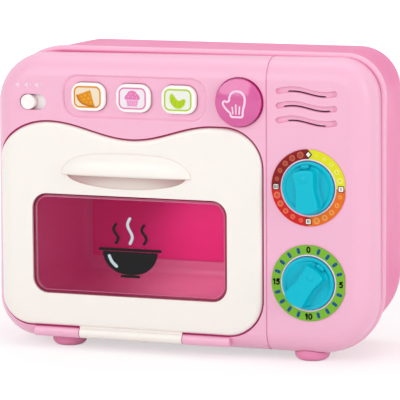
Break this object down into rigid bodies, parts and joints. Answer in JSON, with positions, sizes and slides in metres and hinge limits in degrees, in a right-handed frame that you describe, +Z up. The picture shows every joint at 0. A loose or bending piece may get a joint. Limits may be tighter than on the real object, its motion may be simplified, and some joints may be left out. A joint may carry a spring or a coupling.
{
  "type": "toy microwave oven",
  "caption": "Pretend-play microwave with a drop-down windowed door, hooded handle, recipe buttons, round mitt button, sound slider, turning knobs on dial rings, loudspeaker and battery bay.",
  "frame": {"origin": "bottom centre of the whole toy; the feet stand on Z = 0", "axes": "+X to the right seen from the front, +Y to the back, +Z up; the door faces -Y"},
  "size_m": [0.284, 0.112, 0.2135],
  "materials": {
    "pale_pink_plastic": "glossy",
    "deep_pink_plastic": "glossy",
    "liner_plastic": "satin",
    "ivory_plastic": "glossy",
    "white_plastic": "glossy",
    "clear_magenta_plastic": "glossy, see-through",
    "magenta_card": "matt",
    "mitt_pink_plastic": "glossy, translucent",
    "teal_plastic": "glossy",
    "temperature_print": "printed",
    "timer_print": "printed",
    "acetal": "satin",
    "board": "solder mask",
    "resin_drop": "satin",
    "silicone": "matt",
    "clear_lamp": "clear",
    "steel": "zinc plated",
    "magnet_ferrite": "sintered",
    "paper_cone": "pressed",
    "switch_plastic": "satin",
    "cell_wrap": "wrapped"
  },
  "bodies": {
    "housing": {"front_bezel": "pale_pink_plastic", "rear_housing": "deep_pink_plastic", "cavity_liner": "liner_plastic", "cavity_lamp": "clear_lamp", "cavity_back_card": "magenta_card", "door_catch_plate": "steel", "door_reed_switch": "clear_lamp", "hinge_pin": "steel", "sound_switch": "switch_plastic", "temperature_detent_spring": "steel", "timer_detent_spring": "steel", "temperature_label": "temperature_print", "timer_label": "timer_print", "control_board": "board", "control_board_screw_1": "steel", "control_board_screw_2": "steel", "function_board": "board", "function_board_screw_1": "steel", "function_board_screw_2": "steel", "sound_chip": "resin_drop", "button_pad": "silicone", "mitt_pad": "silicone", "mitt_light": "clear_lamp", "case_screw_1": "steel", "case_screw_2": "steel", "case_screw_3": "steel", "case_screw_4": "steel", "speaker_basket": "steel", "speaker_cone": "paper_cone", "speaker_magnet": "magnet_ferrite", "battery_tray": "deep_pink_plastic", "battery_door": "deep_pink_plastic", "battery_door_screw": "steel", "battery_cell_1": "cell_wrap", "battery_cell_2": "cell_wrap", "battery_contact_left": "steel", "battery_contact_right": "steel", "foot_front_left": "deep_pink_plastic", "foot_front_right": "deep_pink_plastic", "foot_rear_left": "deep_pink_plastic", "foot_rear_right": "deep_pink_plastic"},
    "door": {"door_front_panel": "ivory_plastic", "door_inner_frame": "ivory_plastic", "door_window_pane": "clear_magenta_plastic", "door_catch_magnet": "magnet_ferrite", "door_screw_1": "steel", "door_screw_2": "steel", "door_screw_3": "steel", "door_screw_4": "steel"},
    "pizza_button": {"pizza_button": "white_plastic"},
    "cupcake_button": {"cupcake_button": "white_plastic"},
    "croissant_button": {"croissant_button": "white_plastic"},
    "mitt_button": {"mitt_button": "mitt_pink_plastic"},
    "sound_slider": {"sound_slider": "white_plastic"},
    "temperature_knob": {"temperature_knob": "teal_plastic", "temperature_detent_wheel": "acetal"},
    "timer_knob": {"timer_knob": "teal_plastic", "timer_detent_wheel": "acetal"}
  },
  "joints": [
    {"name": "door_hinge", "type": "hinge", "parent": "housing", "child": "door", "pos_m": [0, -0.0423, 0.012], "axis": [1, 0, 0], "range_deg": [0, 90]},
    {"name": "pizza_press", "type": "slide", "parent": "housing", "child": "pizza_button", "axis": [0, 1, 0], "range_m": [0, 0.0016], "stiffness_N_per_m": 500},
    {"name": "cupcake_press", "type": "slide", "parent": "housing", "child": "cupcake_button", "axis": [0, 1, 0], "range_m": [0, 0.0016], "stiffness_N_per_m": 500},
    {"name": "croissant_press", "type": "slide", "parent": "housing", "child": "croissant_button", "axis": [0, 1, 0], "range_m": [0, 0.0016], "stiffness_N_per_m": 500},
    {"name": "mitt_press", "type": "slide", "parent": "housing", "child": "mitt_button", "axis": [0, 1, 0], "range_m": [0, 0.0025], "stiffness_N_per_m": 500},
    {"name": "sound_slide", "type": "slide", "parent": "housing", "child": "sound_slider", "axis": [1, 0, 0], "range_m": [0, 0.0068]},
    {"name": "temperature_turn", "type": "hinge", "parent": "housing", "child": "temperature_knob", "pos_m": [0.094, -0.0445, 0.123], "axis": [0, 1, 0], "continuous": true},
    {"name": "timer_turn", "type": "hinge", "parent": "housing", "child": "timer_knob", "pos_m": [0.094, -0.0445, 0.0571], "axis": [0, 1, 0], "continuous": true}
  ]
}
